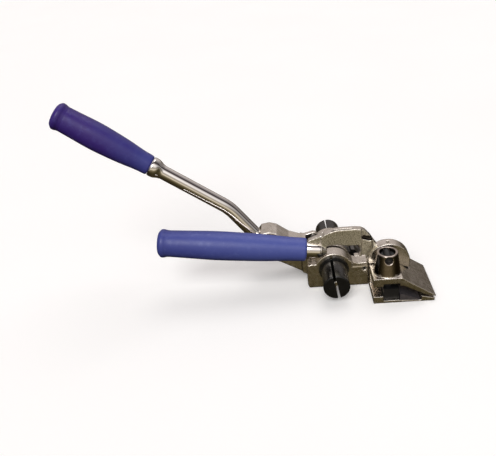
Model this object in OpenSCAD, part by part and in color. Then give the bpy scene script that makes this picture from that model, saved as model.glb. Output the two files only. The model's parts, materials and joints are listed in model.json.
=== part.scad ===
// Hand strapping tensioner for steel band: a slotted windlass drum worked by
// a ratchet lever, and a second lever that drives the band cutter in the nose.
// Frame: X runs from the handles towards the nose, Y runs away from the side
// on which the band is loaded, Z is up. The origin lies on the foot face,
// below the drum axis, halfway through the front wall.

/* [Drum] */
// Diameter of the slotted windlass drum
drum_d = 28; // [24:0.5:30]
// Length of drum that stands out of the front wall
drum_front = 33; // [20:1:40]
// Length of drum that stands out of the rear plate
drum_rear = 33; // [20:1:40]
// Width of the slit that takes the end of the band
slit_w = 2.6; // [1.6:0.2:4]
// Width of the matching slit in the rear end
rear_slit_w = 1.2; // [1:0.1:2.6]
// Lean of the slit from upright, in degrees
slit_lean = -10; // [-30:1:30]

/* [Base casting] */
// Thickness of the front wall
wall_t = 15; // [12:0.5:16]
// Height of the drum axis above the foot
drum_z = 21; // [20.8:0.1:24]
// Left end of the base, from the drum axis
base_left = 29; // [26:0.5:32]
// Place where the beam meets the nose
nose_x0 = 37.4; // [36:0.2:39]
// Height of the beam beside the nose
beam_h = 28.6; // [26:0.2:29]

/* [Nose] */
// Length of the nose block
nose_len = 64; // [60:1:70]
// Height of the nose block
nose_h = 30; // [29:0.5:32]
// Floor of the band slot
slot_floor = 8; // [7:0.5:9]
// Roof of the band slot
slot_roof = 20.5; // [20:0.1:21]
// Top height of the cutter housing
post_top = 54; // [53:0.5:58]
// Radius of the cutter housing at its base
post_r0 = 14; // [13:0.5:14]
// Radius of the cutter housing at its top
post_r1 = 10.8; // [10:0.2:12]

/* [Ratchet] */
// Number of teeth on the ratchet wheel
teeth = 24; // [24]
// Tip radius of the ratchet wheel
wheel_r = 20; // [19:0.2:20]
// Depth of the ratchet teeth
tooth_h = 3.2; // [2.4:0.2:3.4]

/* [Ratchet lever] */
// Rise of the grip and of the upper rod
lever_rise = 36.25; // [30:0.25:40]
// Rise of the cranked stretch of rod beside the head
crank_rise = 54; // [48:1:58]
// Diameter of the lever rod
rod_d = 15.4; // [14:0.2:17]
// Length of the grip on the ratchet lever
lever_grip_len = 111; // [100:1:120]

/* [Cutter lever] */
// Rise of the cutter handle
handle_rise = 7.5; // [5:0.5:9]
// Length of the grip on the cutter lever
handle_grip_len = 161; // [120:1:165]
// Radius of the round lobe at the pivot
lobe_r = 23; // [21:0.5:23]
// Offset of the crank pin that lifts the blade
crank_e = 5.5; // [5:0.1:5.5]

/* [Hidden] */
$fn = 64;

// planes along Y
wall_y0 = -wall_t / 2;
wall_y1 = wall_t / 2;
lever_y = wall_y1 + 20;
head_half = 15;
cheek_t = 5.5;
wheel_half = 8;
plate_y0 = lever_y + head_half + 1.5;
plate_y1 = plate_y0 + 8;
drum_y0 = wall_y0 - drum_front;
drum_y1 = plate_y1 + drum_rear;
drum_r = drum_d / 2;
boss_r = 20.8;
bush_r = 15.6;
fit = 0.05;

// nose and cutter housing
nose_y0 = wall_y0 - 36;
nose_y1 = wall_y1 + 7;
nose_x1 = nose_x0 + nose_len;
post_x = 53.4;
post_y = nose_y0 + 15;
bore_r = 7.2;
slot_y1 = nose_y0 + 27;
blade_w = 16;
blade_x0 = 48;
blade_z0 = 3;
blade_h = 12.4;
blade_pocket_z = 23.2;
pivot_x = 57.5;
pivot_z = nose_h;
lobe_y0 = wall_y0 - 6;
lobe_y1 = wall_y0 + 6.5;
pocket_gap = 0.6;
pin_z = 49;
plug_pin_r = 4.05;
spring_z0 = 33.5;
plug_z0 = 42.5;
plug_z1 = 51;

// cutter lever
arm_y0 = wall_y0;
arm_y1 = wall_y0 + 8.5;
neck_y0 = wall_y0 + 3.2;
handle_y = wall_y0 + 3.3;
handle_x = -28.4;
handle_z = 48;
tang_r = 5.75;
sleeve_r = 8.7;
root_len = 14.4;
handle_pin_at = 8;
crank_half = 37.5;
shaft_r = 7.5;
crank_pin_r = 1.8;
shaft_y0 = post_y + 7.5;

// ratchet lever: bend and rod end, along the lever's own line
bend_x = -110;
bend_z = 89.5;
upper_len = 95.5;
crank_len = 56;
drive_r = 26.5;
drive_a = 135;
drive_x = drive_r * cos(drive_a);
drive_z = drum_z + drive_r * sin(drive_a);
tube_r = 8;
rod_end_x = -80;
rod_end_z = 48.2;
plate_screw_x = [27, 34.4];
plate_screw_z = 5.6;
plate_screw_r = 2;
nose_screw_r = 1.6;
nose_screw_at = [[26.9, 23.6], [32.3, 25.2]];
dowel_x = 33;
dowel_z = 21;
dowel_r = 2.25;
hold_x = 30.5;
hold_z = 17;
pawl_pin_r = 2;
pawl_half = 6;

// A point at radius r and angle a round the drum axis
function polar(r, a) = [r * cos(a), drum_z + r * sin(a)];

// An outline drawn in X and Z, filled from y0 to y1
module along_y(y0, y1) {
    translate([0, y1, 0])
        rotate([90, 0, 0])
            linear_extrude(y1 - y0)
                children();
}

// A round bar along Y at x, z
module bar_y(x, z, r, y0, y1) {
    translate([x, y1, z])
        rotate([90, 0, 0])
            cylinder(r = r, h = y1 - y0);
}

// Children drawn along +Z are laid along a lever that rises by `rise` to the left
module lever_line(x, y, z, rise) {
    translate([x, y, z])
        rotate([0, rise - 90, 0])
            children();
}

// A socket head screw along +Y, with its head at y0 facing -Y
module screw_y(x, z, r, y0, length) {
    difference() {
        union() {
            bar_y(x, z, 1.65 * r, y0, y0 + 2 * r);
            bar_y(x, z, r, y0 + 2 * r - 0.01, y0 + 2 * r + length);
        }
        translate([x, y0 + 1.2 * r, z])
            rotate([90, 0, 0])
                cylinder(r = 0.95 * r, h = 2 * r, $fn = 6);
    }
}

// A split spring pin along +Z
module roll_pin(r, length) {
    difference() {
        cylinder(r = r, h = length);
        translate([0, 0, -1])
            cylinder(r = 0.62 * r, h = length + 2);
        translate([0, -0.18 * r, -1])
            cube([2 * r, 0.36 * r, length + 2]);
    }
}

// A round wire coil about Z, swept as a tube of eight sides, with a straight leg at its end
module coil(r, wire, length, turns, leg) {
    sides = 8;
    rings = 12 * turns;
    points = [for (i = [0 : rings + 1], k = [0 : sides - 1])
        let (t = min(i, rings) / rings, a = 360 * turns * t, b = 360 * k / sides,
            q = r + wire * cos(b), s = i > rings ? leg : 0)
            [q * cos(a) - s * sin(a), q * sin(a) + s * cos(a),
                wire + (length - 2 * wire) * t + wire * sin(b)]];
    walls = [for (i = [0 : rings], k = [0 : sides - 1])
        let (a = i * sides, b = (k + 1) % sides)
            [a + k, a + sides + k, a + sides + b, a + b]];
    first = [[for (k = [0 : sides - 1]) k]];
    last = [[for (k = [sides - 1 : -1 : 0]) (rings + 1) * sides + k]];
    polyhedron(points = points, faces = concat(walls, first, last));
}

// Turned handle grip along +Z from its open end: a taper, a belly and an end flange
module grip_shape(length, r_open, r_belly, r_waist, r_flange, bore) {
    lip = 4;
    rotate_extrude()
        polygon([[bore, 0], [r_open - 1.2, 0], [r_open, 1.6], [r_open + 0.5, 0.10 * length],
            [(r_open + r_belly) / 2 + 0.6, 0.30 * length], [r_belly, 0.52 * length],
            [r_belly - 0.2, 0.66 * length], [r_waist + 0.4, 0.84 * length],
            [r_waist, length - 12], [r_flange - 0.4, length - 8], [r_flange, length - 6],
            [r_flange - 0.3, length - lip], [0.8 * r_flange, length - 1], [0.55 * r_flange, length],
            [0, length], [0, length - lip], [bore, length - lip]]);
}

module base_outline() {
    translate([0, drum_z])
        circle(r = boss_r);
    polygon([[-base_left + 1.5, 0], [nose_x0 - 0.2, 0], [nose_x0 - 0.2, beam_h], [26, beam_h - 0.6],
        [20.5, beam_h + 1.4], [16, drum_z + 13], [-15, drum_z + 12], [-19, 29.6],
        [-base_left + 5, 29.9], [-base_left + 1.2, 28.6], [-base_left, 25], [-base_left, 4]]);
}

module base_casting() {
    color("darkkhaki")
        difference() {
            union() {
                along_y(wall_y0, wall_y1) base_outline();
                // bridge that carries the rear plate
                translate([24, wall_y1 - 1, 0])
                    cube([nose_x0 - 0.2 - 24, plate_y0 - wall_y1 + 1, 12]);
            }
            bar_y(0, drum_z, bush_r, wall_y0 - 2, wall_y1 + 1);
            // shallow step along the beam's parting line
            translate([19.5, wall_y0 - 1, 23.6])
                cube([20, 1.5, 8]);
            bar_y(dowel_x, dowel_z, dowel_r + fit, wall_y0 - 1, wall_y1 + 1);
            for (p = nose_screw_at)
                bar_y(p[0], p[1], nose_screw_r + 0.1, wall_y0 + 4, wall_y1 + 1);
            bar_y(hold_x, hold_z, pawl_pin_r + 0.02, wall_y1 - 6, wall_y1 + 1);
            for (x = plate_screw_x)
                bar_y(x, plate_screw_z, plate_screw_r + fit, plate_y0 - 12, plate_y0 + 1);
        }
}

module rear_plate() {
    color("darkkhaki")
        difference() {
            union() {
                along_y(plate_y0, plate_y1) {
                    translate([0, drum_z])
                        circle(r = boss_r);
                    polygon([[-16, 0.4], [nose_x0 - 0.2, 0.4], [nose_x0 - 0.2, 22], [30, 25], [16, 33],
                        [-12, 30]]);
                }
                bar_y(0, drum_z, boss_r - 2, plate_y1 - 0.5, plate_y1 + 1);
            }
            bar_y(0, drum_z, bush_r, plate_y0 - 1, plate_y1 + 2);
            bar_y(hold_x, hold_z, pawl_pin_r + 0.02, plate_y0 - 1, plate_y1 + 1);
            for (x = plate_screw_x)
                bar_y(x, plate_screw_z, plate_screw_r + 0.1, plate_y0 - 1, plate_y1 + 1);
        }
}

module rear_plate_screws() {
    color("dimgray")
        for (x = plate_screw_x)
            translate([2 * x, 0, 0])
                rotate([0, 0, 180])
                    screw_y(x, plate_screw_z, plate_screw_r, -(plate_y1 + 2 * plate_screw_r), 18);
}

// Side outline of the nose above the slot, down to the tip
module nose_roof() {
    polygon([[nose_x0, slot_roof], [nose_x0, nose_h], [66.7, nose_h], [75, 23.8], [nose_x1, 6],
        [nose_x1 - 0.3, 4.9], [88.9, 8.4], [84.6, 11.2], [74.3, 16.8], [67.5, slot_roof]]);
}

// Side outline of the plate below the slot, with the seat of the die and the lip at the tip
module nose_floor() {
    polygon([[nose_x0, 0], [nose_x1 - 1.4, 0], [nose_x1 - 1.1, 3], [87, 6.4], [86.2, 1.2], [64.2, 2.6],
        [blade_x0 - 0.5, 2.6], [blade_x0 - 0.5, slot_floor], [nose_x0, slot_floor]]);
}

// Rear web of the nose
module nose_web() {
    polygon([[nose_x0, 0], [nose_x0, nose_h], [66.7, nose_h], [75, 23.8], [nose_x1, 6],
        [nose_x1 - 0.6, 0.6], [nose_x1 - 1.4, 0]]);
}

module nose_block() {
    color("tan")
        difference() {
            union() {
                along_y(nose_y0, nose_y1) nose_roof();
                along_y(nose_y0, nose_y1) nose_floor();
                along_y(slot_y1, nose_y1) nose_web();
                // tongue behind the beam
                translate([24, wall_y1 + 0.05, 12.6])
                    cube([nose_x0 - 24 + 1, nose_y1 - wall_y1 - 0.05, 15.4]);
                translate([post_x, post_y, nose_h - 0.01])
                    cylinder(r1 = post_r0, r2 = post_r1, h = post_top - nose_h);
            }
            // pocket of the lever's lobe
            intersection() {
                bar_y(pivot_x, pivot_z, lobe_r + pocket_gap, lobe_y0 - pocket_gap, lobe_y1 + pocket_gap);
                translate([pivot_x - 6, lobe_y0 - 5, 0])
                    cube([60, 60, 60]);
            }
            bar_y(pivot_x, pivot_z, 13 + pocket_gap, lobe_y0 - pocket_gap, lobe_y1 + pocket_gap);
            // bore of the plunger, and of its shaft
            translate([post_x, post_y, slot_roof - 1])
                cylinder(r = bore_r, h = post_top);
            translate([post_x, post_y, plug_z1 - 0.5])
                cylinder(r = 8, h = post_top);
            bar_y(pivot_x, pivot_z, shaft_r + fit, shaft_y0 - 2.5, lobe_y0);
            bar_y(post_x, pin_z, plug_pin_r + fit, post_y - 20, post_y + 20);
            // pocket into which the blade rises
            translate([blade_x0 - 0.5, nose_y0 - 1, slot_floor])
                cube([blade_w + 1, slot_y1 - nose_y0 + 1, blade_pocket_z - slot_floor]);
            bar_y(dowel_x, dowel_z, dowel_r + fit, wall_y1 - 1, nose_y1 + 1);
            bar_y(hold_x, hold_z, pawl_pin_r + 0.02, wall_y1 - 1, nose_y1 + 1);
            for (p = nose_screw_at)
                bar_y(p[0], p[1], nose_screw_r + 0.2, wall_y1 - 1, nose_y1 + 1);
        }
}

module nose_screws() {
    color("dimgray")
        for (p = nose_screw_at)
            translate([2 * p[0], 0, 0])
                rotate([0, 0, 180])
                    screw_y(p[0], p[1], nose_screw_r, -(nose_y1 + 2 * nose_screw_r), 14);
}

module nose_roll_pin() {
    color("black")
        translate([dowel_x, wall_y0 + 20, dowel_z])
            rotate([90, 0, 0])
                roll_pin(dowel_r, 19);
}

// Hardened wedge on the right of the cutter, over which the band runs down to the tip
module die_insert() {
    color("slategray")
        along_y(nose_y0 + 0.2, slot_y1 - 0.1)
            polygon([[64.7, 2.7], [85, 1.4], [85.4, 2], [68, 9.6], [66, 10], [64.7, 9.8]]);
}

module bush(y0, y1) {
    color("peru")
        difference() {
            bar_y(0, drum_z, bush_r, y0, y1);
            bar_y(0, drum_z, drum_r + fit, y0 - 1, y1 + 1);
        }
}

module front_bush() {
    bush(wall_y0 + 1, wall_y1 + 1);
}

module rear_bush() {
    bush(plate_y0 - 0.8, plate_y1 + 0.4);
}

module housing_plug() {
    color("black")
        difference() {
            translate([post_x, post_y, plug_z0])
                cylinder(r = bore_r, h = plug_z1 - plug_z0 - 0.5);
            translate([post_x - 1, post_y - 10, plug_z1 - 2])
                cube([2, 20, 4]);
            bar_y(post_x, pin_z, plug_pin_r, post_y - 20, post_y + 20);
        }
}

module plug_pin() {
    color("black")
        bar_y(post_x, pin_z, plug_pin_r - 0.02, post_y - 7.5, post_y + 7.5);
}

module plunger_spring() {
    color("silver")
        translate([post_x, post_y, spring_z0])
            coil(5.4, 0.6, plug_z0 - spring_z0, 3, 0.5);
}

module holding_pawl_pin() {
    color("silver")
        bar_y(hold_x, hold_z, pawl_pin_r, wall_y1 - 5.9, plate_y1 - 0.5);
}

module pawl_spacers() {
    color("dimgray")
        for (y = [[nose_y1 + 0.1, lever_y - pawl_half - 3.4], [lever_y + pawl_half + 0.3, plate_y0 - 0.1]])
            difference() {
                bar_y(hold_x, hold_z, 3.6, y[0], y[1]);
                bar_y(hold_x, hold_z, pawl_pin_r + fit, y[0] - 1, y[1] + 1);
            }
}

module holding_pawl() {
    color("dimgray")
        difference() {
            along_y(lever_y - pawl_half, lever_y + pawl_half) {
                translate([hold_x, hold_z])
                    circle(r = 4.4);
                polygon([polar(18.4, 12), polar(18.9, 8), polar(20.6, 0.6), [27.5, hold_z - 2.6],
                    [32.4, hold_z + 3.6], [25.8, 28], [22, 28.6], polar(21.4, 13)]);
            }
            bar_y(hold_x, hold_z, pawl_pin_r + fit, 0, plate_y1);
        }
}

// Torsion spring beside a pawl, with one leg along the pawl
module torsion_spring(x, z, y0, lean) {
    translate([x, y0, z])
        rotate([90, 0, 0])
            rotate([0, 0, lean])
                coil(2.9, 0.35, 2.6, 2, 8);
}

module holding_pawl_spring() {
    color("silver")
        torsion_spring(hold_x, hold_z, lever_y - pawl_half - 0.3, 55);
}

module drum_slit(width, y0, y1) {
    translate([0, 0, drum_z])
        rotate([0, slit_lean, 0])
            translate([-width / 2, y0, -drum_d])
                cube([width, y1 - y0, 2 * drum_d]);
}

module windlass_drum() {
    color("black")
        difference() {
            translate([0, drum_y1, drum_z])
                rotate([90, 0, 0])
                    rotate_extrude()
                        polygon([[0, 0], [drum_r - 0.8, 0], [drum_r, 0.8],
                            [drum_r, drum_y1 - drum_y0 - 0.8], [drum_r - 0.8, drum_y1 - drum_y0],
                            [0, drum_y1 - drum_y0]]);
            drum_slit(slit_w, drum_y0 - 1, wall_y0 + 1);
            drum_slit(rear_slit_w, plate_y1 - 1, drum_y1 + 1);
            // keyway, and grooves of the two retaining rings
            translate([-2.5, lever_y - wheel_half - 0.2, drum_z - drum_r - 1])
                cube([5, 2 * wheel_half + 0.4, 3.5]);
            for (y = [wall_y1 + 1.3, plate_y0 - 2.5])
                translate([0, y, drum_z])
                    rotate([-90, 0, 0])
                        difference() {
                            cylinder(r = drum_r + 1, h = 1.2);
                            translate([0, 0, -1])
                                cylinder(r = drum_r - 0.8, h = 4);
                        }
        }
}

// Saw teeth that catch a pawl from the clockwise side
module ratchet_outline() {
    pitch = 360 / teeth;
    polygon([for (i = [0 : teeth - 1], s = [0 : 1])
        let (r = s == 0 ? wheel_r - tooth_h : wheel_r, a = pitch * i + (s == 0 ? 0 : 0.8))
            [r * cos(a), drum_z + r * sin(a)]]);
}

module ratchet_wheel() {
    color("gray")
        difference() {
            along_y(lever_y - wheel_half, lever_y + wheel_half) ratchet_outline();
            bar_y(0, drum_z, drum_r + 0.02, 0, plate_y1);
            translate([-2.5, 0, drum_z - drum_r - 1.2])
                cube([5, plate_y1, 4]);
        }
}

module drum_key() {
    color("silver")
        translate([-2.45, lever_y - wheel_half, drum_z - drum_r - 1.15])
            cube([4.9, 2 * wheel_half, 3.6]);
}

module drum_rings() {
    color("dimgray")
        for (y = [wall_y1 + 1.4, plate_y0 - 2.4])
            translate([0, y, drum_z])
                rotate([-90, 0, 0])
                    difference() {
                        cylinder(r = drum_r + 1.6, h = 1);
                        translate([0, 0, -1])
                            cylinder(r = drum_r - 0.75, h = 3);
                        translate([-3, drum_r - 3, -1])
                            cube([6, 6, 3]);
                    }
}

// Fork and bar of the lever head, still solid between its cheeks
module head_blank(y0, y1) {
    bar_y(0, drum_z, 20.3, y0, y1);
    bar_y(drive_x, drive_z, 5.4, y0, y1);
    along_y(y0, y1)
        polygon([[-2, 1], [-20, 1.2], [-31, 6], [-58, 22], [-74, 27.5], [-90.5, 41.5], [-77, 60],
            [-68, 61.5], [-60, 59], [-47, 49], [-30, 42.5], [-20, 45], [-8, 40]]);
}

module lever_head() {
    color("darkkhaki")
        difference() {
            head_blank(lever_y - head_half, lever_y + head_half);
            // the bar is narrower than the fork
            for (s = [-1, 1])
                translate([-94, lever_y + s * (head_half + 10 - 2.5) - 10, -10])
                    cube([60, 20, 100]);
            bar_y(0, drum_z, drum_r + 1.9, lever_y - 30, lever_y + 30);
            // space of the wheel and of the pawl
            bar_y(0, drum_z, wheel_r + 0.9, lever_y - head_half + cheek_t, lever_y + head_half - cheek_t);
            along_y(lever_y - head_half + cheek_t, lever_y + head_half - cheek_t)
                polygon([[0, 0], [0, 60], [-28, 60], [-28, 30], [-23.5, 12], [-14, 0]]);
            bar_y(drive_x, drive_z, pawl_pin_r + 0.02, lever_y - 30, lever_y + 30);
            // socket of the rod
            lever_line(bend_x, lever_y, bend_z, crank_rise + 180)
                translate([0, 0, 20])
                    cylinder(r = rod_d / 2 + 0.02, h = crank_len - 20 + 0.05);
            bar_y(rod_end_x, rod_end_z, 2, lever_y - 30, lever_y + 30);
        }
}

module lever_rod() {
    color("gainsboro")
        difference() {
            union() {
                lever_line(bend_x, lever_y, bend_z, lever_rise)
                    cylinder(r = rod_d / 2, h = upper_len + 70);
                translate([bend_x, lever_y, bend_z])
                    sphere(r = rod_d / 2 + 0.05);
                lever_line(bend_x, lever_y, bend_z, crank_rise + 180)
                    cylinder(r = rod_d / 2, h = crank_len);
            }
            lever_line(bend_x, lever_y, bend_z, lever_rise)
                translate([0, 0, 10])
                    cylinder(r = rod_d / 2 - 2.4, h = upper_len + 70);
            bar_y(rod_end_x, rod_end_z, 2, lever_y - 30, lever_y + 30);
        }
}

module lever_ferrule() {
    color("gainsboro")
        lever_line(bend_x, lever_y, bend_z, lever_rise)
            translate([0, 0, upper_len - 13])
                rotate_extrude()
                    polygon([[rod_d / 2 + 0.02, 0], [9, 2.5], [10.8, 8], [10.8, 14],
                        [rod_d / 2 + 0.02, 14]]);
}

module lever_grip() {
    color("darkslateblue")
        lever_line(bend_x, lever_y, bend_z, lever_rise)
            translate([0, 0, upper_len + 1.2])
                grip_shape(lever_grip_len, 11, 15, 13.8, 15, rod_d / 2 + 0.02);
}

module rod_roll_pin() {
    color("black")
        translate([rod_end_x, lever_y + head_half - 3, rod_end_z])
            rotate([90, 0, 0])
                roll_pin(1.95, 2 * head_half - 6);
}

module drive_pawl_pin() {
    color("silver")
        bar_y(drive_x, drive_z, pawl_pin_r, lever_y - head_half + 0.3, lever_y + head_half - 0.3);
}

module drive_pawl() {
    color("dimgray")
        difference() {
            along_y(lever_y - pawl_half, lever_y + pawl_half) {
                translate([drive_x, drive_z])
                    circle(r = 4.4);
                polygon([polar(17.8, 163.2), polar(18.9, 158), polar(20.9, 150.6), polar(22.2, 136),
                    polar(30.6, 138), polar(27.6, 152), polar(24.4, 163), polar(21.4, 163.7)]);
            }
            bar_y(drive_x, drive_z, pawl_pin_r + fit, 0, plate_y1);
        }
}

module drive_pawl_spring() {
    color("silver")
        torsion_spring(drive_x, drive_z, lever_y - pawl_half - 0.3, 180);
}

// Side outline of the cutter arm: the pad over the drum and the leg down to the pivot
module arm_outline() {
    polygon([[-12.6, 44], [-13, 52], [-12.6, 62.8], [-8.5, 66], [-4, 68], [2.2, 69.9], [8.7, 70.4],
        [23, 70.4], [30.3, 69.4], [34.2, 67], [39.8, 60.2], [44.5, 52], [49, 46], [47, 39], [44.6, 34.5],
        [31, 36.2], [26.4, 37.8], [23.8, 41], [22.3, 50.4], [12.5, 51.2], [3.1, 52.9], [-5, 52.6]]);
}

module lobe_outline() {
    intersection() {
        translate([pivot_x, pivot_z])
            circle(r = lobe_r);
        union() {
            translate([0, pivot_z + 1])
                square([100, 100]);
            polygon([[pivot_x, pivot_z], [pivot_x + 40, pivot_z + 2], [pivot_x + 40, pivot_z - 11],
                [pivot_x + 8, pivot_z - 4]]);
        }
    }
    translate([pivot_x, pivot_z])
        circle(r = 13);
}

// Children placed along the cutter handle, `along` from the end of its grip
module on_handle(along) {
    lever_line(handle_x, handle_y, handle_z, handle_rise)
        translate([0, 0, along])
            children();
}

// Cross hole of the pin that holds the tube on its tang
module handle_pin_hole() {
    on_handle(handle_pin_at)
        rotate([0, 90, 0])
            cylinder(r = 2, h = 40, center = true);
}

// Pad, hood, leg and lobe of the cutter arm
module arm_body() {
    difference() {
        union() {
            along_y(arm_y0, arm_y1) arm_outline();
            along_y(lobe_y0, lobe_y1) lobe_outline();
            // hood over the handle, and the flare of its root
            along_y(arm_y0 + 1.5, arm_y1)
                polygon([[-12, 46], [-30, 48], [-30, 57.6], [-26.4, 59], [-17, 62.6], [-12, 64.6]]);
            on_handle(-root_len - 7.5)
                cylinder(r1 = 4.5, r2 = 8.4, h = 7.3);
        }
        // the neck is sunk a little below the pad
        translate([30.3, arm_y0 - 1, 30])
            cube([11.5, neck_y0 - arm_y0 + 1, 45]);
        // sunk oval between the pad and the lobe
        for (t = [0 : 0.25 : 1])
            bar_y(33.6 + 6 * t, 58.2 - 2 * t, 2.5, neck_y0 - 8, arm_y1 - 1.6);
        // groove behind the rim of the pad
        translate([-2, arm_y0 + 2, 68.6])
            cube([23.5, 1.2, 4]);
        on_handle(-root_len)
            cylinder(r = sleeve_r + 0.2, h = 60);
        on_handle(-0.8)
            cylinder(r = 20, h = 60);
        bar_y(0, drum_z, boss_r + 2, -40, 40);
    }
}

module cutter_arm() {
    color("darkkhaki")
        difference() {
            union() {
                arm_body();
                on_handle(-root_len - 4)
                    cylinder(r = tang_r, h = root_len + 20);
            }
            handle_pin_hole();
            bar_y(pivot_x, pivot_z, 6.02, lobe_y0 - 1, lobe_y1 + 1);
            translate([pivot_x, lobe_y0 + 6.2, pivot_z])
                cylinder(r = 1.5, h = 60);
        }
}

module handle_tube() {
    color("gainsboro")
        difference() {
            on_handle(-root_len)
                cylinder(r = tube_r, h = root_len + handle_grip_len - 6);
            on_handle(-root_len - 1)
                cylinder(r = tang_r + fit, h = handle_grip_len + 60);
            handle_pin_hole();
        }
}

module handle_ferrule() {
    color("gainsboro")
        on_handle(-root_len)
            difference() {
                cylinder(r = sleeve_r, h = root_len + 0.1);
                translate([0, 0, -1])
                    cylinder(r = tube_r + 0.02, h = root_len + 3);
            }
}

module handle_grip() {
    color("royalblue")
        on_handle(0.3)
            grip_shape(handle_grip_len, 12.6, 15.8, 14.5, 15.6, tube_r + 0.02);
}

module handle_roll_pin() {
    color("black")
        on_handle(handle_pin_at)
            translate([-tube_r + 0.3, 0, 0])
                rotate([0, 90, 0])
                    roll_pin(1.95, 2 * tube_r - 0.6);
}

module eccentric_shaft() {
    color("silver")
        difference() {
            union() {
                bar_y(pivot_x, pivot_z, shaft_r, shaft_y0, lobe_y0 - 0.1);
                bar_y(pivot_x, pivot_z, 6, lobe_y0 - 0.2, lobe_y1);
                bar_y(pivot_x - crank_e * cos(crank_half), pivot_z - crank_e * sin(crank_half), crank_pin_r,
                    post_y - 6, shaft_y0 + 0.1);
            }
            translate([pivot_x, lobe_y0 + 6.2, pivot_z - 2])
                cylinder(r = 1.5, h = 20);
        }
}

module shaft_roll_pin() {
    color("black")
        translate([pivot_x, lobe_y0 + 6.2, pivot_z - 1.5])
            roll_pin(1.45, lobe_r - 2);
}

module cutter_plunger() {
    z0 = blade_z0 + blade_h;
    pin_z0 = pivot_z - crank_e * sin(crank_half);
    color("black")
        difference() {
            translate([post_x, post_y, z0])
                cylinder(r = bore_r - fit, h = spring_z0 - z0 - 0.1);
            translate([post_x - 4.6, post_y - 6.6, pin_z0 - crank_pin_r - 0.4])
                cube([7.4, 20, 2 * crank_pin_r + 0.8]);
            translate([post_x, post_y, z0 - 1])
                cylinder(r = 2.02, h = 9);
        }
}

module cutter_blade() {
    color("black")
        difference() {
            translate([blade_x0, nose_y0 + 3, blade_z0])
                cube([blade_w, slot_y1 - nose_y0 - 4, blade_h]);
            translate([post_x, post_y, blade_z0 - 1])
                cylinder(r = 2.1, h = 30);
            translate([post_x, post_y, blade_z0 - 1])
                cylinder(r = 3.8, h = 4.4);
        }
}

module blade_screw() {
    color("dimgray")
        translate([post_x, post_y, blade_z0 + 0.2])
            difference() {
                union() {
                    cylinder(r = 3.6, h = 3.1);
                    cylinder(r = 2, h = blade_h + 5);
                }
                translate([0, 0, -1])
                    cylinder(r = 1.7, h = 3, $fn = 6);
            }
}

base_casting();
rear_plate();
rear_plate_screws();
nose_block();
nose_screws();
nose_roll_pin();
die_insert();
front_bush();
rear_bush();
housing_plug();
plug_pin();
plunger_spring();
holding_pawl_pin();
pawl_spacers();
holding_pawl();
holding_pawl_spring();
windlass_drum();
ratchet_wheel();
drum_key();
drum_rings();
lever_head();
lever_rod();
lever_ferrule();
lever_grip();
rod_roll_pin();
drive_pawl_pin();
drive_pawl();
drive_pawl_spring();
cutter_arm();
handle_tube();
handle_ferrule();
handle_grip();
handle_roll_pin();
eccentric_shaft();
shaft_roll_pin();
cutter_plunger();
cutter_blade();
blade_screw();
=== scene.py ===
import json
import math

import bmesh
import bpy
import numpy as np
from mathutils import Matrix, Vector


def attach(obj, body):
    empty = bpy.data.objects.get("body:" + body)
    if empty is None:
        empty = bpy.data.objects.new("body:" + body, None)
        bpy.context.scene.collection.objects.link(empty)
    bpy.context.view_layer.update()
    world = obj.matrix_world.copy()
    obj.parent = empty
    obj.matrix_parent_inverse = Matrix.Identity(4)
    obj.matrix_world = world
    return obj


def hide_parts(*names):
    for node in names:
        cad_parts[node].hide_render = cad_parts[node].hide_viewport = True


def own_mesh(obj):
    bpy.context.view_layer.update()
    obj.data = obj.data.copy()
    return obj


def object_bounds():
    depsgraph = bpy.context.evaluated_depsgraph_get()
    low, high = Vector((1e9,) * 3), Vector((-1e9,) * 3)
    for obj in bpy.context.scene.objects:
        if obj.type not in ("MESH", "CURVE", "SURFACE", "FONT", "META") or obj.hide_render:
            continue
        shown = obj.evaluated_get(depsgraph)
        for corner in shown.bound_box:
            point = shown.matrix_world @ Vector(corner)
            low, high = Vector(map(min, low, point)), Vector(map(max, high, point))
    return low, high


# The looks of a strapping tensioner, built round its CAD frame: metres, X towards the nose,
# Y away from the camera and Z up from the foot.
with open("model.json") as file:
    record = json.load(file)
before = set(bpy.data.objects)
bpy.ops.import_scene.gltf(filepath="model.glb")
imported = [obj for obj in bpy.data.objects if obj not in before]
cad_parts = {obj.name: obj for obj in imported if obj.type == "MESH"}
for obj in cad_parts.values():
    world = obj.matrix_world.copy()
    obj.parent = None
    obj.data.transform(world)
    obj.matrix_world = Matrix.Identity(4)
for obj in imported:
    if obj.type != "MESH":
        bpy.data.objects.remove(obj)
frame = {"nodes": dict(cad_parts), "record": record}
CAD_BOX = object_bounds()
NODES = frame["nodes"]
MM = 0.001


# ---------------------------------------------------------------- mesh helpers

def link(name, mesh):
    obj = bpy.data.objects.new(name, mesh)
    bpy.context.scene.collection.objects.link(obj)
    return obj


def settle(obj):
    """Applies every modifier of obj to its mesh."""
    graph = bpy.context.evaluated_depsgraph_get()
    mesh = bpy.data.meshes.new_from_object(obj.evaluated_get(graph))
    obj.modifiers.clear()
    old = obj.data
    obj.data = mesh
    bpy.data.meshes.remove(old)
    return obj


def smooth_shade(obj):
    for face in obj.data.polygons:
        face.use_smooth = True
    return obj


def closed(name, bm):
    """A new object from a bmesh, with its faces turned outward."""
    bmesh.ops.recalc_face_normals(bm, faces=bm.faces)
    mesh = bpy.data.meshes.new(name)
    bm.to_mesh(mesh)
    bm.free()
    return link(name, mesh)


def circle(bm, centre, u, v, radius, sides):
    """Makes a ring of vertices round centre in the plane of u and v, its radius in mm."""
    return [bm.verts.new(centre + (u * math.cos(a) + v * math.sin(a)) * radius * MM)
            for a in (math.tau * k / sides for k in range(sides))]


def bridge(bm, low, high):
    """Makes faces between two rings of vertices. The second may be a single point."""
    for k in range(len(low)):
        n = (k + 1) % len(low)
        if len(high) == 1:
            bm.faces.new((low[k], low[n], high[0]))
        else:
            bm.faces.new((low[k], low[n], high[n], high[k]))


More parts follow.
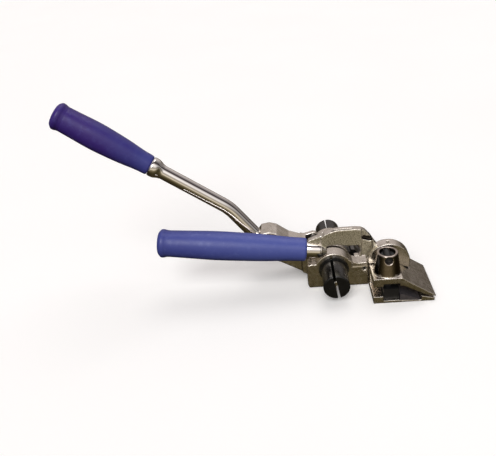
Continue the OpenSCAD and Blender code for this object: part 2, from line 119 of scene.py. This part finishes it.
def prism(name, outline, y0, y1):
    """A bar along Y whose section is an outline of (x, z) points in mm."""
    bm = bmesh.new()
    near = [bm.verts.new((x * MM, y0 * MM, z * MM)) for x, z in outline]
    far = [bm.verts.new((x * MM, y1 * MM, z * MM)) for x, z in outline]
    bm.faces.new(near)
    bm.faces.new(far)
    bridge(bm, near, far)
    return closed(name, bm)


def forged(node, voxel, passes, hollow=None):
    """A copy of a CAD node with its edges rounded, as a forging's are, less an optional hollow.

    The rounding grows with the voxel's size in mm and with the number of passes.
    """
    obj = link(node + "_skin", NODES[node].data.copy())
    obj.data.materials.clear()
    remesh = obj.modifiers.new("remesh", "REMESH")
    remesh.mode = "VOXEL"
    remesh.voxel_size = voxel * MM
    settle(obj)
    if hollow:
        tool = prism("hollow", *hollow)
        cut = obj.modifiers.new("cut", "BOOLEAN")
        cut.operation = "DIFFERENCE"
        cut.solver = "EXACT"
        cut.object = tool
        settle(obj)
        bpy.data.objects.remove(tool)
    soften = obj.modifiers.new("soften", "SMOOTH")
    soften.factor = 0.5
    soften.iterations = passes
    settle(obj)
    return smooth_shade(obj)


def lathe(name, profile, start, direction, sides=96):
    """Turns a profile of (distance, radius) pairs in mm about a line from start along direction."""
    z = Vector(direction).normalized()
    x = z.orthogonal().normalized()
    y = z.cross(x)
    bm = bmesh.new()
    rings = []
    for along, radius in profile:
        centre = Vector(start) + z * along * MM
        rings.append(circle(bm, centre, x, y, radius, sides) if radius > 0 else [bm.verts.new(centre)])
    for low, high in zip(rings, rings[1:]):
        bridge(bm, low, high)
    return smooth_shade(closed(name, bm))


def spline(points, steps):
    """A Catmull-Rom curve through (distance, radius) points."""
    out = []
    padded = [points[0]] + list(points) + [points[-1]]
    for p0, p1, p2, p3 in zip(padded, padded[1:], padded[2:], padded[3:]):
        for s in range(steps):
            t = s / steps
            out.append(tuple(0.5 * (2 * b + (c - a) * t + (2 * a - 5 * b + 4 * c - d) * t * t
                                    + (3 * b - a - 3 * c + d) * t ** 3)
                             for a, b, c, d in zip(p0, p1, p2, p3)))
    out.append(tuple(points[-1]))
    return out


def tube(name, path, radius, sides):
    """A round bar of the given radius in mm along a path of points in metres, closed at both ends."""
    bm = bmesh.new()
    rings = []
    side = Vector((0, 1, 0))
    for i, point in enumerate(path):
        before = path[max(i - 1, 0)]
        after = path[min(i + 1, len(path) - 1)]
        up = side.cross((after - before).normalized()).normalized()
        rings.append(circle(bm, point, side, up, radius, sides))
    for low, high in zip(rings, rings[1:]):
        bridge(bm, low, high)
    bm.faces.new(rings[0])
    bm.faces.new(rings[-1])
    return smooth_shade(closed(name, bm))


# ------------------------------------------------------------------- materials

# Places where the plate looks different, in mm. A pair bounds the stretch over which a mask fades.
BEHIND_LOBE = (-11.5, -10.5)
POST_FOOT = (30.6, 32.5)
HOUSING_CENTRE = (53.4, -28.5)
HOUSING_MOUTH = (40, 41)
# The squared distance from the housing's centre
HOUSING_BORE = (64, 74)
# The normal's part along Y on a face that looks to the front
FRONT_FACING = (-0.92, -0.70)
# Boxes of (low, high, softness) for each axis
ARM_OVAL = {"X": (31.4, 42.2, 0.5), "Z": (53.2, 61.6, 0.5), "Y": (-3.7, 3.0, 0.3)}
ARM_GROOVE = {"X": (-1.2, 21.5, 1.0), "Z": (67.9, 71.0, 0.4), "Y": (-5.7, -4.1, 0.2)}


class Graph:
    """A small builder of shader nodes."""

    def __init__(self, tree):
        self.tree = tree
        self.coords = self.node("ShaderNodeTexCoord")

    def node(self, kind, **values):
        n = self.tree.nodes.new(kind)
        for key, value in values.items():
            setattr(n, key, value)
        return n

    def feed(self, value, socket):
        """Links value to socket, or sets the socket where value is a number or a colour."""
        if isinstance(value, (int, float)):
            socket.default_value = value
        elif isinstance(value, tuple):
            socket.default_value = (*value, 1)
        else:
            self.tree.links.new(value, socket)

    def part(self, vector, axis):
        """One coordinate of a vector."""
        split = self.node("ShaderNodeSeparateXYZ")
        self.feed(vector, split.inputs[0])
        return split.outputs[axis]

    def ramp(self, value, *stops):
        """A colour ramp through (position, colour) stops."""
        r = self.node("ShaderNodeValToRGB")
        elements = r.color_ramp.elements
        while len(elements) < len(stops):
            elements.new(0.5)
        for element, (at, colour) in zip(elements, stops):
            element.position = at
            element.color = (*colour, 1)
        self.feed(value, r.inputs["Fac"])
        return r.outputs["Color"]

    def remap(self, value, low, high, to_low, to_high):
        """Stretches low to high onto to_low to to_high, and holds the ends beyond them."""
        m = self.node("ShaderNodeMapRange")
        m.inputs["From Min"].default_value = low
        m.inputs["From Max"].default_value = high
        m.inputs["To Min"].default_value = to_low
        m.inputs["To Max"].default_value = to_high
        self.feed(value, m.inputs["Value"])
        return m.outputs["Result"]

    def mix(self, factor, a, b, blend="MIX"):
        """The colour a where factor is 0 and b, or b blended over a, where it is 1."""
        m = self.node("ShaderNodeMix", data_type="RGBA", blend_type=blend)
        self.feed(factor, m.inputs["Factor"])
        self.feed(a, m.inputs[6])
        self.feed(b, m.inputs[7])
        return m.outputs[2]

    def math(self, kind, a, b=0.0):
        m = self.node("ShaderNodeMath", operation=kind)
        self.feed(a, m.inputs[0])
        self.feed(b, m.inputs[1])
        return m.outputs[0]


class Shade(Graph):
    """The nodes of a new material round its Principled shader."""

    def __init__(self, name, **sockets):
        self.material = bpy.data.materials.new(name)
        self.material.use_nodes = True
        super().__init__(self.material.node_tree)
        self.main = self.tree.nodes["Principled BSDF"]
        for key, value in sockets.items():
            self.main.inputs[key.replace("_", " ")].default_value = value

    def noise(self, scale, detail, rough):
        n = self.node("ShaderNodeTexNoise")
        n.inputs["Scale"].default_value = scale
        n.inputs["Detail"].default_value = detail
        n.inputs["Roughness"].default_value = rough
        self.feed(self.coords.outputs["Object"], n.inputs["Vector"])
        return n.outputs["Fac"]

    def lerp(self, factor, a, b):
        """The number a where factor is 0 and b where it is 1."""
        return self.math("ADD", self.math("MULTIPLY", a, self.math("SUBTRACT", 1.0, factor)),
                         self.math("MULTIPLY", b, factor))

    def both(self, *masks):
        """1 where every one of the masks is."""
        out = masks[0]
        for mask in masks[1:]:
            out = self.math("MULTIPLY", out, mask)
        return out

    def edges(self, low, high):
        """1 on convex edges, or on hollow ones where high is below low."""
        g = self.node("ShaderNodeNewGeometry")
        return self.remap(g.outputs["Pointiness"], low, high, 0, 1)

    def place(self, axis):
        """A coordinate of the point being shaded, in mm."""
        return self.math("MULTIPLY", self.part(self.coords.outputs["Object"], axis), 1 / MM)

    def inside(self, axis, low, high, soft):
        """1 where a coordinate in mm lies between low and high."""
        value = self.place(axis)
        return self.both(self.remap(value, low - soft, low + soft, 0, 1),
                         self.remap(value, high - soft, high + soft, 1, 0))

    def inside_box(self, box):
        return self.both(*(self.inside(axis, *span) for axis, span in box.items()))

    def sand_mask(self):
        """1 on the pad's and the neck's front faces, which keep the blasted skin."""
        facing = self.part(self.coords.outputs["Normal"], "Y")
        return self.both(self.remap(facing, *FRONT_FACING, 1, 0),
                         self.remap(self.place("Y"), *BEHIND_LOBE, 0, 1))

    def post_mask(self):
        """1 on the turned cutter housing above the nose."""
        return self.remap(self.place("Z"), *POST_FOOT, 0, 1)

    def bore_mask(self):
        """1 inside the mouth of the cutter housing."""
        x = self.math("SUBTRACT", self.place("X"), HOUSING_CENTRE[0])
        y = self.math("SUBTRACT", self.place("Y"), HOUSING_CENTRE[1])
        squared = self.math("ADD", self.math("MULTIPLY", x, x), self.math("MULTIPLY", y, y))
        return self.both(self.remap(squared, *HOUSING_BORE, 1, 0),
                         self.remap(self.place("Z"), *HOUSING_MOUTH, 0, 1))

    def colour(self, out):
        self.feed(out, self.main.inputs["Base Color"])

    def rough(self, out):
        self.feed(out, self.main.inputs["Roughness"])

    def bump(self, height, strength, distance):
        b = self.node("ShaderNodeBump")
        b.inputs["Strength"].default_value = strength
        b.inputs["Distance"].default_value = distance * MM
        self.feed(height, b.inputs["Height"])
        self.feed(b.outputs["Normal"], self.main.inputs["Normal"])


PLATE_DARK = (0.56, 0.51, 0.44)
PLATE_LIGHT = (0.78, 0.73, 0.68)
PLATE_STAIN = tuple(c * 0.5 for c in PLATE_DARK)
# The next two colours are painted light: a highlight for convex edges and shade for crevices.
EDGE_HIGHLIGHT = (0.93, 0.90, 0.86)
CREVICE_SHADE = (0.10, 0.085, 0.065)
ARM_SHADOW = (0.05, 0.042, 0.032)
BORE_SHADOW = (0.06, 0.048, 0.038)


def sand_skin(s, colour, rough, height):
    """Lays the blasted skin, with its light and dark grains, over the arm's front faces."""
    mask = s.sand_mask()
    speckle = s.noise(820, 4, 0.8)
    grains = s.ramp(speckle, (0.36, (0.34, 0.30, 0.21)), (0.60, (0.97, 0.92, 0.78)))
    # Painted shadow in the arm's oval recess and along the groove between rim and pad.
    shadow = s.math("MAXIMUM", s.inside_box(ARM_OVAL), s.inside_box(ARM_GROOVE))
    colour = s.mix(shadow, s.mix(mask, colour, grains), ARM_SHADOW)
    rough = s.lerp(mask, rough, s.remap(speckle, 0.3, 0.7, 0.38, 0.52))
    return colour, rough, s.lerp(mask, height, s.math("MULTIPLY", speckle, 2.8))


def polished_post(s, colour, rough, blotch):
    """Darkens and polishes the cutter housing, and paints shade into its bore."""
    mask = s.post_mask()
    dark_plate = s.ramp(blotch, (0.3, (0.36, 0.30, 0.255)), (0.7, (0.50, 0.44, 0.395)))
    colour = s.mix(s.bore_mask(), s.mix(mask, colour, dark_plate), BORE_SHADOW)
    return colour, s.lerp(mask, rough, s.remap(s.noise(200, 4, 0.65), 0.3, 0.75, 0.08, 0.18))


def forging_metal(name, sand=False, post=False):
    """Satin plate over a forged skin, with a painted highlight along its convex edges and painted shade
    in its crevices.
    """
    s = Shade(name, Metallic=1.0, Roughness=0.36)
    blotch = s.noise(55, 5, 0.62)
    stain = s.remap(s.noise(170, 4, 0.6), 0.55, 0.74, 0, 0.5)
    colour = s.mix(stain, s.ramp(blotch, (0.3, PLATE_DARK), (0.7, PLATE_LIGHT)), PLATE_STAIN)
    # Painted highlight: the convex edges are lightened in the base colour.
    colour = s.mix(s.math("MULTIPLY", s.edges(0.52, 0.62), 0.75), colour, EDGE_HIGHLIGHT)
    # Painted shade: the hollows and crevices are darkened in the base colour.
    colour = s.mix(s.edges(0.485, 0.40), colour, CREVICE_SHADE)
    rough = s.remap(s.noise(240, 4, 0.65), 0.3, 0.75, 0.17, 0.36)
    fine = s.math("MULTIPLY", s.noise(1500, 2, 0.6), 0.4)
    wave = s.math("MULTIPLY", s.noise(85, 2, 0.5), 2.6)
    height = s.math("ADD", s.math("ADD", fine, s.noise(330, 3, 0.55)), wave)
    if sand:
        colour, rough, height = sand_skin(s, colour, rough, height)
    if post:
        colour, rough = polished_post(s, colour, rough, blotch)
    s.colour(colour)
    s.rough(rough)
    s.bump(height, 0.3, 0.24)
    return s.material


def black_oxide(name, gloss=0.3, light=0.026, worn=False):
    """Blackened steel, greyer along its edges where it is worn."""
    s = Shade(name, Metallic=0.0, Roughness=gloss, Specular_IOR_Level=0.55)
    pale = (light, light, light * 1.08)
    base = s.ramp(s.noise(160, 4, 0.6), (0.3, (0.004, 0.004, 0.0045)), (0.75, pale))
    s.colour(s.mix(s.edges(0.525, 0.6), base, (0.06, 0.06, 0.064)) if worn else base)
    s.rough(s.remap(s.noise(420, 4, 0.65), 0.3, 0.75, gloss - 0.07, gloss + 0.13))
    s.bump(s.noise(1400, 2, 0.6), 0.12, 0.1)
    return s.material


def plain_steel(name, dark, light, low, high, metallic=1.0):
    """Bare metal between two colours and two roughnesses."""
    s = Shade(name, Metallic=metallic, Roughness=high)
    s.colour(s.ramp(s.noise(200, 4, 0.6), (0.3, dark), (0.75, light)))
    s.rough(s.remap(s.noise(600, 3, 0.6), 0.3, 0.75, low, high))
    s.bump(s.noise(1300, 2, 0.6), 0.1, 0.1)
    return s.material


def chrome_metal(name):
    """Bright plate with faint ripples and a few duller patches."""
    s = Shade(name, Metallic=1.0, Roughness=0.1)
    s.colour(s.ramp(s.noise(45, 3, 0.5), (0.3, (0.80, 0.76, 0.74)), (0.7, (0.88, 0.85, 0.83))))
    s.rough(s.remap(s.noise(210, 4, 0.65), 0.35, 0.8, 0.05, 0.17))
    s.bump(s.noise(110, 2, 0.5), 0.06, 0.25)
    return s.material


def grip_vinyl(name, near_end, far_end, span, light):
    """Moulded vinyl whose hue drifts along the grip: a soft sheen, lighter patches of painted sheen, fine
    grain and faint flow marks.
    """
    s = Shade(name, Roughness=0.42, Specular_IOR_Level=0.36)
    flow = s.noise(24, 5, 0.6)
    sheen_patches = s.noise(150, 4, 0.7)
    drift = s.math("ADD", s.remap(s.place("X"), *span, 0, 1), s.remap(flow, 0.3, 0.7, -0.22, 0.22))
    base = s.ramp(drift, (0.1, near_end), (0.9, far_end))
    # Painted sheen: lighter patches of the last colour, scattered by noise.
    s.colour(s.mix(s.remap(sheen_patches, 0.52, 0.74, 0, 0.35), base, light))
    s.rough(s.remap(s.noise(170, 4, 0.65), 0.3, 0.75, 0.32, 0.52))
    grain = s.math("MULTIPLY", s.noise(1700, 2, 0.6), 0.6)
    s.bump(s.math("ADD", grain, s.noise(230, 3, 0.5)), 0.24, 0.18)
    return s.material


FORGING = forging_metal("plated_forging")
ARM_FORGING = forging_metal("plated_forging_sand", sand=True)
NOSE_FORGING = forging_metal("plated_forging_post", post=True)
BLACK = black_oxide("black_oxide")
DRUM_BLACK = black_oxide("black_drum", 0.19, 0.008, worn=True)
DEEP_BLACK = black_oxide("black_blade", 0.45, 0.008)
DARK = plain_steel("dark_steel", (0.07, 0.068, 0.066), (0.16, 0.155, 0.15), 0.3, 0.45)
DIE = plain_steel("die_steel", (0.10, 0.09, 0.10), (0.18, 0.165, 0.18), 0.36, 0.5, 0.7)
BRONZE = plain_steel("bronze", (0.16, 0.11, 0.07), (0.26, 0.19, 0.12), 0.35, 0.5)
BRIGHT = plain_steel("bright_steel", (0.42, 0.41, 0.40), (0.60, 0.59, 0.57), 0.2, 0.32)
CHROME = chrome_metal("chrome")
# The last colour of each grip is the colour of its painted sheen.
VINYL_REAR = grip_vinyl("lever_grip_vinyl", (0.040, 0.018, 0.180), (0.045, 0.050, 0.250), (-250, -185),
                        (0.085, 0.080, 0.33))
VINYL_FRONT = grip_vinyl("handle_grip_vinyl", (0.050, 0.062, 0.275), (0.066, 0.088, 0.330), (-180, -60),
                         (0.120, 0.150, 0.42))
BY_SLOT = {"plated_forging": FORGING, "black_oxide": BLACK, "dark_steel": DARK, "die_steel": DIE,
           "bronze": BRONZE, "bright_steel": BRIGHT, "chrome": CHROME,
           "lever_grip_plastic": VINYL_REAR, "handle_grip_plastic": VINYL_FRONT}
# The plug pin takes the deep black as painted shade, so that the housing's cross hole looks dark inside.
BY_NODE = {"cutter_arm": ARM_FORGING, "nose_block": NOSE_FORGING, "windlass_drum": DRUM_BLACK,
           "cutter_blade": DEEP_BLACK, "cutter_plunger": DEEP_BLACK, "housing_plug": DEEP_BLACK,
           "plug_pin": DEEP_BLACK}
SLOT_OF = {row["node"]: row["material_slot"] for row in frame["record"]["subparts"]}
BODY_OF = {n: body for body, members in frame["record"]["behaviour"]["bodies"].items() for n in members}


def finish_of(node):
    return BY_NODE.get(node, BY_SLOT[SLOT_OF[node]])


def finish_piece(obj, node):
    """Gives obj the material and body of the CAD node that it stands in for, and hides that node."""
    obj.data.materials.clear()
    obj.data.materials.append(finish_of(node))
    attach(obj, BODY_OF[node])
    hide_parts(node)


for node, obj in NODES.items():
    obj.data.materials.clear()
    obj.data.materials.append(finish_of(node))


# ------------------------------------------------------------- rounded castings

# The hollow below the pad, where the arm turns down into its leg: its outline and its span along Y
PAD_HOLLOW = ([(20.5, 51.1), (26.0, 50.9), (28.2, 49.6), (29.2, 47.0), (29.3, 43.5), (28.4, 40.0),
               (26.8, 37.4), (26.0, 35.0), (20.5, 36.0)], -9.0, 2.5)


def skin(node, voxel, passes, hollow=None):
    """Puts a forged copy in the place of a CAD casting."""
    finish_piece(forged(node, voxel, passes, hollow), node)


def build_castings():
    skin("nose_block", 0.5, 6)
    skin("cutter_arm", 0.5, 12, PAD_HOLLOW)
    skin("base_casting", 0.48, 7)
    skin("lever_head", 0.55, 6)
    skin("rear_plate", 0.6, 5)
    skin("windlass_drum", 0.45, 1)


# ------------------------------------------------------------------ grips, rods

# The handle and the rod's two runs rise to the left by these angles, and the runs meet at the bend
HANDLE_RISE = math.radians(7.5)
UPPER_RISE = math.radians(36.25)
CRANK_RISE = math.radians(54)
BEND = Vector((-110, 27.5, 89.5)) * MM
BEND_STEPS = 8
# Lengths in mm, the first from the bend's middle to where its curve ends
BEND_REACH = 9
ROD_RADIUS = 7.7
COLLAR_BORE = 7.72
SLEEVE_BORE = 8.03
GRIP_BORE = 8.05


def axis_of(node, rise):
    """Start, direction and length in mm of a turned node whose axis rises to the left by that angle."""
    points = np.array([v.co for v in NODES[node].data.vertices])
    direction = np.array((-math.cos(rise), 0.0, math.sin(rise)))
    along = points @ direction
    across = points - np.outer(along, direction)
    middle = (across.min(0) + across.max(0)) / 2
    start = Vector(middle + direction * along.min())
    return start, Vector(direction), (along.max() - along.min()) / MM


def build_grip(node, radii, rise):
    """A moulded grip from its open mouth over its belly and its waist to the flange at its end."""
    start, direction, length = axis_of(node, rise)
    mouth, belly, waist, flange = radii
    outline = spline([(0, mouth - 2.2), (0.35, mouth - 0.9), (1.6, mouth - 0.1), (4, mouth + 0.15),
                      (0.12 * length, mouth + 0.55), (0.3 * length, (mouth + belly) / 2 + 0.6),
                      (0.5 * length, belly - 0.15), (0.62 * length, belly),
                      (0.76 * length, belly - 0.6), (0.88 * length, waist + 0.15),
                      (length - 13, waist), (length - 9.6, waist + 0.35),
                      (length - 7.6, flange - 0.25), (length - 5.8, flange - 0.05),
                      (length - 4, flange - 0.4), (length - 2.2, flange - 2.1),
                      (length - 0.9, flange - 4), (length - 0.25, flange - 7)], 6)
    lip = [(0.6, GRIP_BORE), (0.0, 9.2)]
    dimple = [(length - 0.1, 4.0), (length - 0.9, 3.4), (length - 1.4, 0)]
    grip = lathe(node + "_moulding", lip + outline + dimple, start, direction, 128)
    grip.visible_glossy = False
    finish_piece(grip, node)


def build_rod():
    """The cranked rod: two straight runs joined by a smooth bend."""
    up = Vector((-math.cos(UPPER_RISE), 0, math.sin(UPPER_RISE)))
    down = Vector((math.cos(CRANK_RISE), 0, -math.sin(CRANK_RISE)))
    path = [BEND + down * t * MM for t in (55.8, 50, 40, 30, 20, 12)]
    start = BEND + down * (BEND_REACH * MM)
    end = BEND + up * (BEND_REACH * MM)
    for k in range(BEND_STEPS + 1):
        t = k / BEND_STEPS
        path.append(start * (1 - t) ** 2 + BEND * 2 * t * (1 - t) + end * t * t)
    path += [BEND + up * t * MM for t in (12, 30, 50, 70, 90, 120, 150)]
    finish_piece(tube("lever_rod_bar", path, ROD_RADIUS, 64), "lever_rod")


def build_ferrules():
    """The belled collar on the rod and the plain sleeve on the handle's tube."""
    start, direction, _ = axis_of("lever_ferrule", UPPER_RISE)
    bell = spline([(0, 8.0), (1.4, 8.2), (3, 8.7), (4.8, 9.5), (6.4, 10.2), (8.2, 10.65), (10.5, 10.78),
                   (12.6, 10.7), (13.6, 10.3), (14, 9.6)], 6)
    profile = [(0, COLLAR_BORE)] + bell + [(14, COLLAR_BORE)]
    finish_piece(lathe("lever_ferrule_ring", profile, start, direction), "lever_ferrule")
    start, direction, length = axis_of("handle_ferrule", HANDLE_RISE)
    profile = [(0, SLEEVE_BORE), (0, 8.45), (0.15, 8.6), (0.4, 8.68), (length - 0.5, 8.68),
               (length, 8.55), (length, SLEEVE_BORE)]
    finish_piece(lathe("handle_ferrule_ring", profile, start, direction), "handle_ferrule")


def build_spring():
    """The plunger's spring, held at the plug, as a copy with its own mesh. The real spring shortens
    towards the plug as the blade rises; here its shape stays fixed.
    """
    coil = smooth_shade(link("plunger_spring_coil", NODES["plunger_spring"].data.copy()))
    finish_piece(coil, "plunger_spring")
    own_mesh(coil)


build_castings()
build_spring()
build_grip("lever_grip", (11, 15, 13.8, 15), UPPER_RISE)
build_grip("handle_grip", (12.6, 15.8, 14.5, 15.6), HANDLE_RISE)
build_rod()
build_ferrules()


# ------------------------------------------------------- floor, light and camera

# Metres: half the floor's side, and how far it lies below the foot
FLOOR_HALF = 6
FLOOR_GAP = 0.0005


def build_floor():
    """A pale sheet that takes the tool's soft shadow."""
    bm = bmesh.new()
    bmesh.ops.create_grid(bm, x_segments=1, y_segments=1, size=FLOOR_HALF)
    mesh = bpy.data.meshes.new("floor")
    bm.to_mesh(mesh)
    bm.free()
    floor = link("floor", mesh)
    floor.location.z = CAD_BOX[0][2] - FLOOR_GAP
    s = Shade("pale_floor", Roughness=0.9, Emission_Color=(1, 1, 1, 1), Emission_Strength=0.09)
    s.colour(s.ramp(s.noise(3, 2, 0.5), (0.3, (0.93, 0.93, 0.93)), (0.7, (0.95, 0.95, 0.95))))
    mesh.materials.append(s.material)
    floor.visible_glossy = False
    floor.visible_diffuse = False


# Colours of the surroundings by the angle round the X axis: 0 is the horizon on the camera's side,
# 90 straight up, 180 the horizon behind and -90 straight down.
SURROUND = [(-180, (0.11, 0.09, 0.06)), (-140, (0.045, 0.034, 0.018)), (-80, (0.04, 0.03, 0.015)),
            (-48, (0.05, 0.040, 0.018)), (-30, (0.10, 0.082, 0.040)), (-14, (0.24, 0.20, 0.12)),
            (-4, (0.80, 0.72, 0.56)), (4, (0.62, 0.55, 0.44)), (11, (0.36, 0.32, 0.26)),
            (20, (0.60, 0.56, 0.52)), (32, (1.15, 1.10, 1.06)), (50, (1.35, 1.31, 1.28)),
            (62, (0.60, 0.55, 0.54)), (72, (0.13, 0.11, 0.11)), (92, (0.09, 0.075, 0.075)),
            (106, (0.36, 0.33, 0.325)), (124, (0.60, 0.555, 0.55)), (150, (0.62, 0.565, 0.545)),
            (168, (0.50, 0.45, 0.42)), (180, (0.11, 0.09, 0.06))]
# How much of that light is left by the sideways part of the direction
SIDEWAYS = [(0.0, 1.0), (0.42, 1.0), (0.62, 0.62), (0.85, 0.36), (1.0, 0.3)]
BACKDROP = (0.97, 0.97, 0.97)


def build_world():
    """Soft light from above and from the camera's side over a dim warm lower half."""
    world = bpy.data.worlds.new("studio")
    bpy.context.scene.world = world
    world.use_nodes = True
    g = Graph(world.node_tree)
    direction = g.coords.outputs["Generated"]
    angle = g.math("ARCTAN2", g.part(direction, "Z"), g.math("MULTIPLY", g.part(direction, "Y"), -1))
    around = g.ramp(g.remap(angle, -math.pi, math.pi, 0, 1),
                    *(((at + 180) / 360, colour) for at, colour in SURROUND))
    sideways = g.ramp(g.math("ABSOLUTE", g.part(direction, "X")),
                      *((at, (left, left, left)) for at, left in SIDEWAYS))
    light = g.mix(1.0, around, sideways, "MULTIPLY")
    seen = g.node("ShaderNodeLightPath").outputs["Is Camera Ray"]
    g.feed(g.mix(seen, light, BACKDROP), g.tree.nodes["Background"].inputs["Color"])


def sun(name, origin, power, spread, colour=(1, 1, 1)):
    """A sun that shines from the side of origin, its spread in degrees."""
    data = bpy.data.lights.new(name, "SUN")
    data.energy = power
    data.angle = math.radians(spread)
    data.color = colour
    obj = bpy.data.objects.new(name, data)
    bpy.context.scene.collection.objects.link(obj)
    obj.rotation_euler = (-Vector(origin)).to_track_quat("-Z", "Y").to_euler()


def build_lights():
    sun("key", (-0.2, -0.72, 0.78), 1.5, 34)
    sun("top", (0.15, 0.35, 1.0), 0.7, 40, (1.0, 0.98, 0.97))


# The place and view of the photograph's camera, with angles in radians and the lens in mm
CAMERA_PLACE = Vector((-37.70, -522.66, 364.12)) * MM
CAMERA_TILT, CAMERA_YAW, CAMERA_ROLL = 0.4998, -0.098, -0.119
CAMERA_LENS = 40.53


def build_camera():
    level = math.cos(CAMERA_TILT)
    forward = Vector((math.sin(CAMERA_YAW) * level, math.cos(CAMERA_YAW) * level, -math.sin(CAMERA_TILT)))
    right = Vector((math.cos(CAMERA_YAW), -math.sin(CAMERA_YAW), 0))
    up = right.cross(forward)
    cos_roll = math.cos(CAMERA_ROLL)
    sin_roll = math.sin(CAMERA_ROLL)
    right, up = right * cos_roll + up * sin_roll, up * cos_roll - right * sin_roll
    data = bpy.data.cameras.new("camera")
    data.sensor_width = 36
    data.lens = CAMERA_LENS
    data.clip_start = 0.01
    camera = bpy.data.objects.new("camera", data)
    bpy.context.scene.collection.objects.link(camera)
    camera.matrix_world = Matrix((
        (right.x, up.x, -forward.x, CAMERA_PLACE.x),
        (right.y, up.y, -forward.y, CAMERA_PLACE.y),
        (right.z, up.z, -forward.z, CAMERA_PLACE.z),
        (0, 0, 0, 1)))
    bpy.context.scene.camera = camera


build_floor()
build_world()
build_lights()
build_camera()
bpy.context.scene.view_settings.view_transform = "Standard"
